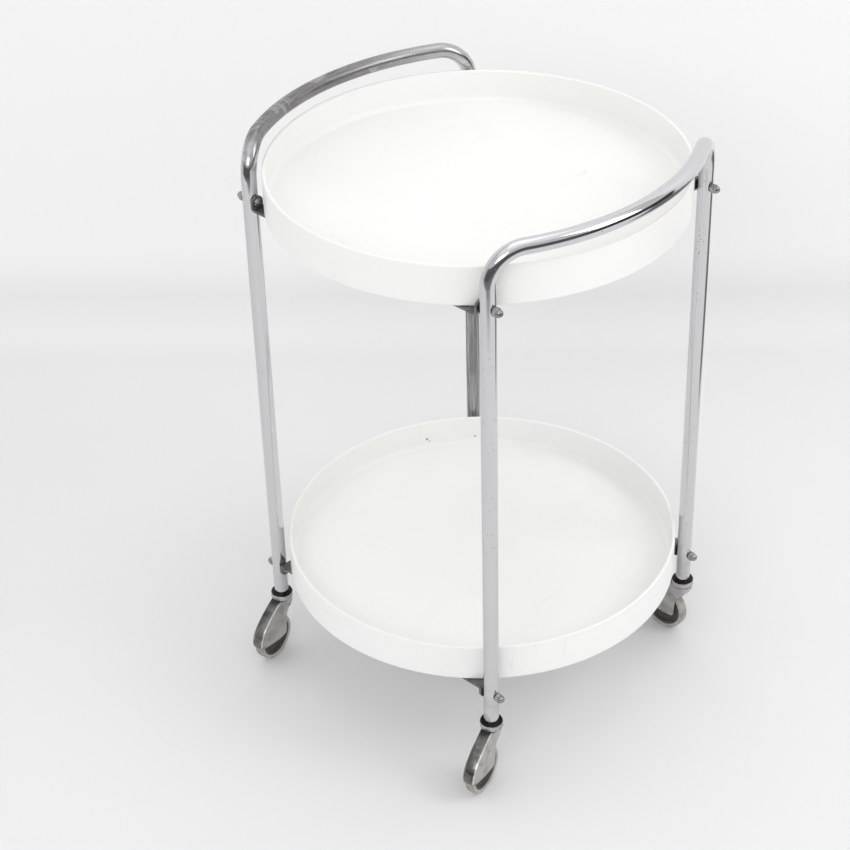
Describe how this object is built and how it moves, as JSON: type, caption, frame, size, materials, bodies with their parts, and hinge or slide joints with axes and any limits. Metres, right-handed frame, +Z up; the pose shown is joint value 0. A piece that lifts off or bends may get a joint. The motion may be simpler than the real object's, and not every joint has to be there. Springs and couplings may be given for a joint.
{
  "type": "two-tier serving trolley",
  "caption": "Two-tier round serving trolley with raised tray rims, bowed tube handles and swivelling hooded castors.",
  "frame": {"origin": "on the floor, under the centre of the trays", "axes": "+Z up, X along the two handles, Y from the front handle to the rear handle"},
  "size_m": [0.479, 0.4898, 0.718],
  "materials": {
    "chrome_tube": "bright plating, slightly pitted with age",
    "white_tray": "semi-gloss, faintly scuffed",
    "zinc_strip": "dull plated strip",
    "nickel_fastener": "worn nickel plate",
    "zinc_screw": "dull zinc plate",
    "black_socket": "satin",
    "cast_hood": "polished and worn casting",
    "dark_wheel": "satin",
    "pale_tyre": "matte, soiled"
  },
  "bodies": {
    "trolley": {"front_handle_frame": "chrome_tube", "rear_handle_frame": "chrome_tube", "upper_tray": "white_tray", "lower_tray": "white_tray", "upper_crossbar_left": "zinc_strip", "upper_crossbar_right": "zinc_strip", "lower_crossbar_left": "zinc_strip", "lower_crossbar_right": "zinc_strip", "upper_bolts": "nickel_fastener", "lower_bolts": "nickel_fastener", "upper_cap_nuts": "nickel_fastener", "lower_cap_nuts": "nickel_fastener", "upper_tray_screws": "zinc_screw", "lower_tray_screws": "zinc_screw", "castor_socket_front_left": "black_socket", "castor_socket_front_right": "black_socket", "castor_socket_rear_left": "black_socket", "castor_socket_rear_right": "black_socket"},
    "castor_front_left": {"castor_hood_front_left": "cast_hood", "castor_stem_front_left": "nickel_fastener", "grip_ring_front_left": "zinc_screw", "axle_front_left": "zinc_screw"},
    "castor_front_right": {"castor_hood_front_right": "cast_hood", "castor_stem_front_right": "nickel_fastener", "grip_ring_front_right": "zinc_screw", "axle_front_right": "zinc_screw"},
    "castor_rear_left": {"castor_hood_rear_left": "cast_hood", "castor_stem_rear_left": "nickel_fastener", "grip_ring_rear_left": "zinc_screw", "axle_rear_left": "zinc_screw"},
    "castor_rear_right": {"castor_hood_rear_right": "cast_hood", "castor_stem_rear_right": "nickel_fastener", "grip_ring_rear_right": "zinc_screw", "axle_rear_right": "zinc_screw"},
    "wheel_front_left": {"wheel_core_front_left": "dark_wheel", "tyre_front_left": "pale_tyre"},
    "wheel_front_right": {"wheel_core_front_right": "dark_wheel", "tyre_front_right": "pale_tyre"},
    "wheel_rear_left": {"wheel_core_rear_left": "dark_wheel", "tyre_rear_left": "pale_tyre"},
    "wheel_rear_right": {"wheel_core_rear_right": "dark_wheel", "tyre_rear_right": "pale_tyre"}
  },
  "joints": [
    {"name": "swivel_front_left", "type": "hinge", "parent": "trolley", "child": "castor_front_left", "pos_m": [-0.18, -0.18, 0.0828], "axis": [0, 0, 1], "continuous": true},
    {"name": "roll_front_left", "type": "hinge", "parent": "castor_front_left", "child": "wheel_front_left", "pos_m": [-0.20338, -0.1854, 0.03], "axis": [0.225, -0.9744, 0], "continuous": true},
    {"name": "swivel_front_right", "type": "hinge", "parent": "trolley", "child": "castor_front_right", "pos_m": [0.18, -0.18, 0.0828], "axis": [0, 0, 1], "continuous": true},
    {"name": "roll_front_right", "type": "hinge", "parent": "castor_front_right", "child": "wheel_front_right", "pos_m": [0.17916, -0.15601, 0.03], "axis": [-0.9994, -0.0349, 0], "continuous": true},
    {"name": "swivel_rear_left", "type": "hinge", "parent": "trolley", "child": "castor_rear_left", "pos_m": [-0.18, 0.18, 0.0828], "axis": [0, 0, 1], "continuous": true},
    {"name": "roll_rear_left", "type": "hinge", "parent": "castor_rear_left", "child": "wheel_rear_left", "pos_m": [-0.20364, 0.17583, 0.03], "axis": [0.1736, -0.9848, 0], "continuous": true},
    {"name": "swivel_rear_right", "type": "hinge", "parent": "trolley", "child": "castor_rear_right", "pos_m": [0.18, 0.18, 0.0828], "axis": [0, 0, 1], "continuous": true},
    {"name": "roll_rear_right", "type": "hinge", "parent": "castor_rear_right", "child": "wheel_rear_right", "pos_m": [0.15965, 0.16728, 0.03], "axis": [0.5299, -0.848, 0], "continuous": true}
  ]
}
